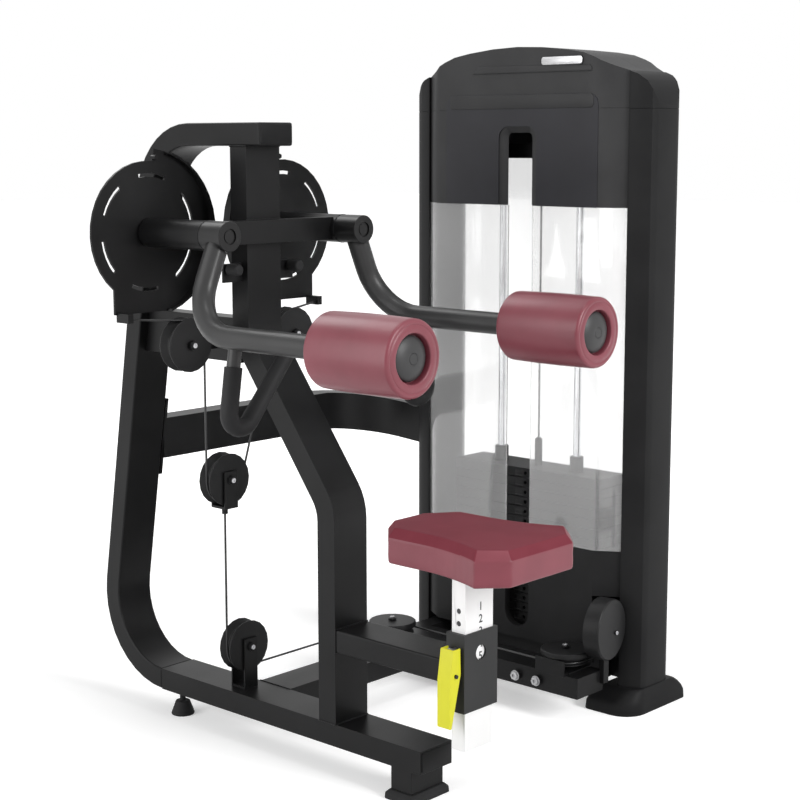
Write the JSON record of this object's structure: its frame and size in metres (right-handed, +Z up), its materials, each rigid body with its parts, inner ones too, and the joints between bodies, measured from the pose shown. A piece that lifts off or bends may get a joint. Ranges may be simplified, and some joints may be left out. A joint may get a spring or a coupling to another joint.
{
  "type": "seated lateral raise machine",
  "caption": "Seated gym machine with side-raising padded arms on cam plates, cable and pulleys, adjustable seat and a shrouded weight stack tower.",
  "frame": {"origin": "on the floor under the middle of the whole machine", "axes": "+X from the seat towards the weight stack tower, +Y from the seat towards the machine's back, +Z up"},
  "size_m": [1.287, 1.3174, 1.597],
  "materials": {
    "frame_paint": "fine matt textured powder coat",
    "sleeve_grey": "satin powder coat",
    "post_white": "satin white paint",
    "lever_yellow": "satin yellow paint",
    "selector_yellow": "moulded knob on a steel pin",
    "bright_steel": "zinc plated",
    "guide_rod": "polished",
    "roller_upholstery": "smooth burgundy artificial leather",
    "seat_upholstery": "smooth burgundy artificial leather",
    "grip_rubber": "matt",
    "foot_rubber": "matt",
    "clear_shield": "clear acrylic",
    "placard": "dark blue grey sheet",
    "cover_black": "fine grained moulding",
    "tower_post": "fine matt powder coat",
    "plastic_black": "moulded",
    "pulley_black": "moulded nylon",
    "stack_plate": "painted black",
    "cable_black": "nylon coated wire rope"
  },
  "bodies": {
    "frame": {"base_beam": "frame_paint", "rear_leg_and_top_beam": "frame_paint", "upright": "frame_paint", "stop_bumper_left": "foot_rubber", "stop_bumper_right": "foot_rubber", "tie_tube": "frame_paint", "seat_beam": "frame_paint", "front_foot": "foot_rubber", "back_foot": "foot_rubber", "seat_sleeve": "sleeve_grey", "arm_bearing_bar": "frame_paint", "base_cross_beam": "frame_paint", "tower_base_beam": "frame_paint", "tower_sole_beam": "frame_paint", "brace": "frame_paint", "front_tower_post": "tower_post", "back_tower_post": "tower_post", "front_tower_foot": "plastic_black", "back_tower_foot": "plastic_black", "near_lower_cover": "cover_black", "far_lower_cover": "cover_black", "near_shield_front": "clear_shield", "near_shield_back": "clear_shield", "far_shield": "clear_shield", "top_cover": "cover_black", "far_top_cover": "cover_black", "placard": "placard", "head_beam": "frame_paint", "tower_pulley_guard": "plastic_black", "front_guide_rod": "guide_rod", "back_guide_rod": "guide_rod", "resting_stack": "stack_plate", "arm_cable": "cable_black", "stack_cable": "cable_black"},
    "left_arm": {"left_arm": "frame_paint", "left_cam": "frame_paint", "left_grip": "grip_rubber", "left_roller_cap": "plastic_black"},
    "right_arm": {"right_arm": "frame_paint", "right_cam": "frame_paint", "right_grip": "grip_rubber", "right_roller_cap": "plastic_black"},
    "left_roller": {"left_roller_pad": "roller_upholstery"},
    "right_roller": {"right_roller_pad": "roller_upholstery"},
    "floating_carriage": {"floating_clevis": "frame_paint"},
    "floating_wheel": {"floating_pulley": "pulley_black"},
    "left_upper_wheel": {"left_upper_pulley": "pulley_black"},
    "right_upper_wheel": {"right_upper_pulley": "pulley_black"},
    "bottom_wheel": {"bottom_pulley": "pulley_black"},
    "back_corner_wheel": {"back_corner_pulley": "pulley_black"},
    "front_corner_wheel": {"front_corner_pulley": "pulley_black"},
    "tower_wheel": {"tower_pulley": "pulley_black"},
    "front_head_wheel": {"front_head_pulley": "pulley_black"},
    "back_head_wheel": {"back_head_pulley": "pulley_black"},
    "moving_stack": {"lifted_stack": "stack_plate"},
    "selector": {"selector_pin": "selector_yellow"},
    "seat": {"seat_post": "post_white", "seat_cushion": "seat_upholstery"},
    "lever": {"release_lever": "lever_yellow"},
    "lock_pin": {"seat_lock_pin": "bright_steel"}
  },
  "joints": [
    {"name": "left_arm_swing", "type": "hinge", "parent": "frame", "child": "left_arm", "pos_m": [-0.4833, 0.18934, 1.178], "axis": [0, 1, 0], "range_deg": [0, 60], "deforming": ["arm_cable", "stack_cable"]},
    {"name": "right_arm_swing", "type": "hinge", "parent": "frame", "child": "right_arm", "pos_m": [-0.0817, 0.18934, 1.178], "axis": [0, -1, 0], "range_deg": [0, 60]},
    {"name": "left_roller_turn", "type": "hinge", "parent": "left_arm", "child": "left_roller", "pos_m": [-0.5675, -0.46066, 0.982], "axis": [0, 1, 0], "continuous": true},
    {"name": "right_roller_turn", "type": "hinge", "parent": "right_arm", "child": "right_roller", "pos_m": [0.0025, -0.46066, 0.982], "axis": [0, 1, 0], "continuous": true},
    {"name": "floating_pulley_rise", "type": "slide", "parent": "frame", "child": "floating_carriage", "axis": [0, 0, 1], "range_m": [0, 0.1871]},
    {"name": "floating_pulley_turn", "type": "hinge", "parent": "floating_carriage", "child": "floating_wheel", "pos_m": [-0.3345, 0.20934, 0.619], "axis": [0, 1, 0], "continuous": true},
    {"name": "left_upper_pulley_turn", "type": "hinge", "parent": "frame", "child": "left_upper_wheel", "pos_m": [-0.4395, 0.20934, 0.934], "axis": [0, -1, 0], "range_deg": [0, 204.5]},
    {"name": "right_upper_pulley_turn", "type": "hinge", "parent": "frame", "child": "right_upper_wheel", "pos_m": [-0.1255, 0.20934, 0.934], "axis": [0, 1, 0], "range_deg": [0, 204.5]},
    {"name": "bottom_pulley_turn", "type": "hinge", "parent": "frame", "child": "bottom_wheel", "pos_m": [-0.2825, 0.20934, 0.219], "axis": [0, 1, 0], "range_deg": [0, 204.5]},
    {"name": "back_corner_pulley_turn", "type": "hinge", "parent": "frame", "child": "back_corner_wheel", "pos_m": [0.2255, 0.20934, 0.145], "axis": [0, 0, 1], "range_deg": [0, 204.5]},
    {"name": "front_corner_pulley_turn", "type": "hinge", "parent": "frame", "child": "front_corner_wheel", "pos_m": [0.3305, -0.25966, 0.145], "axis": [0, 0, -1], "range_deg": [0, 204.5]},
    {"name": "tower_pulley_turn", "type": "hinge", "parent": "frame", "child": "tower_wheel", "pos_m": [0.4215, -0.31216, 0.206], "axis": [0, 1, 0], "range_deg": [0, 176.07]},
    {"name": "front_head_pulley_turn", "type": "hinge", "parent": "frame", "child": "front_head_wheel", "pos_m": [0.48973, -0.26016, 1.486], "axis": [0.9905, -0.1378, 0], "range_deg": [0, 204.5]},
    {"name": "back_head_pulley_turn", "type": "hinge", "parent": "frame", "child": "back_head_wheel", "pos_m": [0.51526, -0.07666, 1.486], "axis": [0.9905, -0.1378, 0], "range_deg": [0, 204.5]},
    {"name": "stack_lift", "type": "slide", "parent": "frame", "child": "moving_stack", "axis": [0, 0, 1], "range_m": [0, 0.1871]},
    {"name": "selector_pull", "type": "slide", "parent": "moving_stack", "child": "selector", "axis": [-1, 0, 0], "range_m": [0, 0.1]},
    {"name": "seat_height", "type": "slide", "parent": "frame", "child": "seat", "axis": [0, 0, 1], "range_m": [-0.078, 0.13]},
    {"name": "lever_press", "type": "hinge", "parent": "frame", "child": "lever", "pos_m": [-0.3545, -0.48066, 0.314], "axis": [0, -1, 0], "range_deg": [0, 12], "stiffness_Nm_per_rad": 2},
    {"name": "lock_pin_draw", "type": "slide", "parent": "frame", "child": "lock_pin", "axis": [-1, 0, 0], "range_m": [0, 0.0102]}
  ],
  "couplings": [
    {"joint": "right_arm_swing", "follows": "left_arm_swing", "ratio": 1},
    {"joint": "floating_pulley_rise", "follows": "left_arm_swing", "m_per_rad": 0.1785},
    {"joint": "stack_lift", "follows": "left_arm_swing", "m_per_rad": 0.1785},
    {"joint": "lock_pin_draw", "follows": "lever_press", "m_per_rad": 0.048},
    {"joint": "left_upper_pulley_turn", "follows": "left_arm_swing", "ratio": 3.4},
    {"joint": "right_upper_pulley_turn", "follows": "left_arm_swing", "ratio": 3.4},
    {"joint": "bottom_pulley_turn", "follows": "left_arm_swing", "ratio": 3.4},
    {"joint": "back_corner_pulley_turn", "follows": "left_arm_swing", "ratio": 3.4},
    {"joint": "front_corner_pulley_turn", "follows": "left_arm_swing", "ratio": 3.4},
    {"joint": "front_head_pulley_turn", "follows": "left_arm_swing", "ratio": 3.4},
    {"joint": "back_head_pulley_turn", "follows": "left_arm_swing", "ratio": 3.4},
    {"joint": "tower_pulley_turn", "follows": "left_arm_swing", "ratio": 2.9262}
  ]
}
